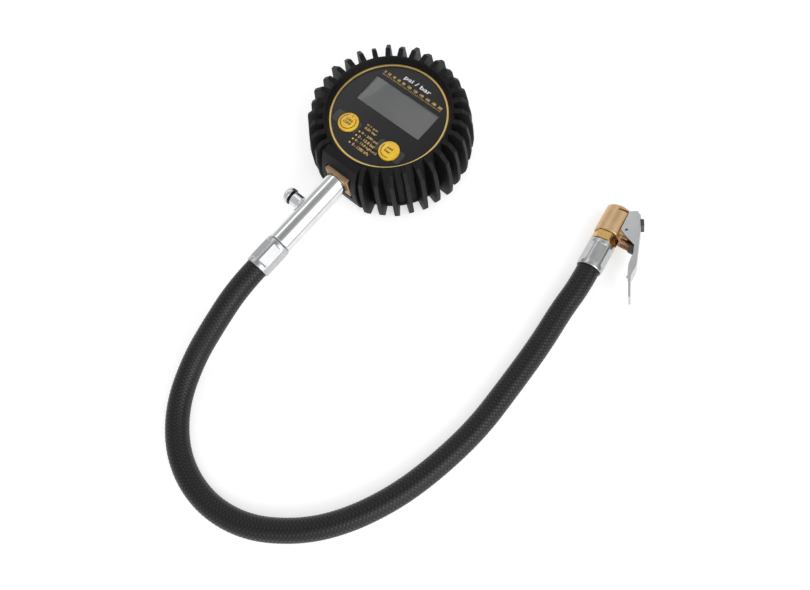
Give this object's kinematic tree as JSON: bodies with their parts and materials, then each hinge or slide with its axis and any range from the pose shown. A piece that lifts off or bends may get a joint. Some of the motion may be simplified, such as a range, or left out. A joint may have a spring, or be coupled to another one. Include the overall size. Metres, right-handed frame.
{
  "type": "tyre pressure gauge with hose",
  "caption": "Digital tyre pressure gauge in a ribbed rubber boot, with a stem and bleed valve, a braided hose and a clip-on lever chuck for tyre valves.",
  "frame": {"origin": "centre of the back of the gauge head, on the surface that it lies on", "axes": "+Z out of the dial, +Y towards the top of the dial, the stem and its hose leave along -Y"},
  "size_m": [0.2112, 0.2693, 0.0403],
  "materials": {
    "boot_rubber": "matte moulded",
    "case_plastic": "fine texture",
    "screw_steel": "zinc plated",
    "cell_jacket": "printed sleeve, bare",
    "contact_steel": "nickel plated",
    "gold_trim": "satin gold",
    "face_print": "smooth printed film",
    "clear_lens": "clear",
    "display_grey": "satin",
    "white_plastic": "moulded",
    "seal_rubber": "smooth",
    "board_green": "solder mask",
    "chip_black": "moulded",
    "button_yellow": "smooth",
    "brass": "turned",
    "sensor_steel": "turned",
    "ribbon": "film",
    "chrome": "polished",
    "spring_steel": "drawn wire",
    "ferrule_zinc": "bright zinc plated, crimped",
    "hose_rubber": "smooth",
    "hose_braid": "braided textile cover",
    "lever_steel": "nickel plated sheet",
    "clamp_dark": "blackened",
    "spring_brass": "drawn wire"
  },
  "bodies": {
    "gauge_and_hose": {"boot": "boot_rubber", "rear_case": "case_plastic", "battery_door": "case_plastic", "battery_bay": "case_plastic", "front_bezel": "case_plastic", "door_screw": "screw_steel", "case_screws": "screw_steel", "battery_cell_front": "cell_jacket", "battery_cell_rear": "cell_jacket", "contact_plate_left": "contact_steel", "contact_plate_right": "contact_steel", "bezel_ring": "gold_trim", "face_overlay": "face_print", "display_lens": "clear_lens", "display_panel": "display_grey", "display_holder": "white_plastic", "contact_strip": "seal_rubber", "circuit_board": "board_green", "controller_chip": "chip_black", "switch_left": "chip_black", "switch_right": "chip_black", "inlet_block": "brass", "pressure_sensor": "sensor_steel", "sensor_seal": "seal_rubber", "stem_seal": "seal_rubber", "sensor_ribbon": "ribbon", "stem_tube": "chrome", "bleed_sleeve": "chrome", "bleed_spring": "spring_steel", "ferrule_stem": "ferrule_zinc", "hose_barb_stem": "brass", "hose_tail_stem": "hose_rubber", "hose": "hose_braid", "ferrule_chuck": "ferrule_zinc", "hose_tail_chuck": "hose_rubber", "chuck_insert": "brass", "chuck_body": "brass", "chuck_seal": "seal_rubber", "depressor": "brass", "pivot_pin": "lever_steel", "lever_spring": "spring_brass"},
    "left_button": {"button_left": "button_yellow"},
    "right_button": {"button_right": "button_yellow"},
    "bleed_valve": {"bleed_button": "chrome", "bleed_poppet": "brass", "bleed_seal": "seal_rubber"},
    "chuck_lever": {"lever": "lever_steel", "claw_plate": "lever_steel", "claw_clamp": "clamp_dark", "claw_rivet": "lever_steel", "spring_seat": "clamp_dark"}
  },
  "joints": [
    {"name": "left_button_press", "type": "slide", "parent": "gauge_and_hose", "child": "left_button", "axis": [0, 0, -1], "range_m": [0, 0.0003], "stiffness_N_per_m": 400, "springref_m": -0.002},
    {"name": "right_button_press", "type": "slide", "parent": "gauge_and_hose", "child": "right_button", "axis": [0, 0, -1], "range_m": [0, 0.0003], "stiffness_N_per_m": 400, "springref_m": -0.002},
    {"name": "bleed_press", "type": "slide", "parent": "gauge_and_hose", "child": "bleed_valve", "axis": [1, 0, 0], "range_m": [0, 0.0009], "stiffness_N_per_m": 500, "springref_m": -0.003, "deforming": ["bleed_spring"]},
    {"name": "lever_hinge", "type": "hinge", "parent": "gauge_and_hose", "child": "chuck_lever", "pos_m": [0.13887, 0.03268, 0.00974], "axis": [0.2389, 0.0382, -0.9703], "range_deg": [0, 14], "stiffness_Nm_per_rad": 0.3, "springref_deg": -28.65, "deforming": ["lever_spring"]}
  ]
}
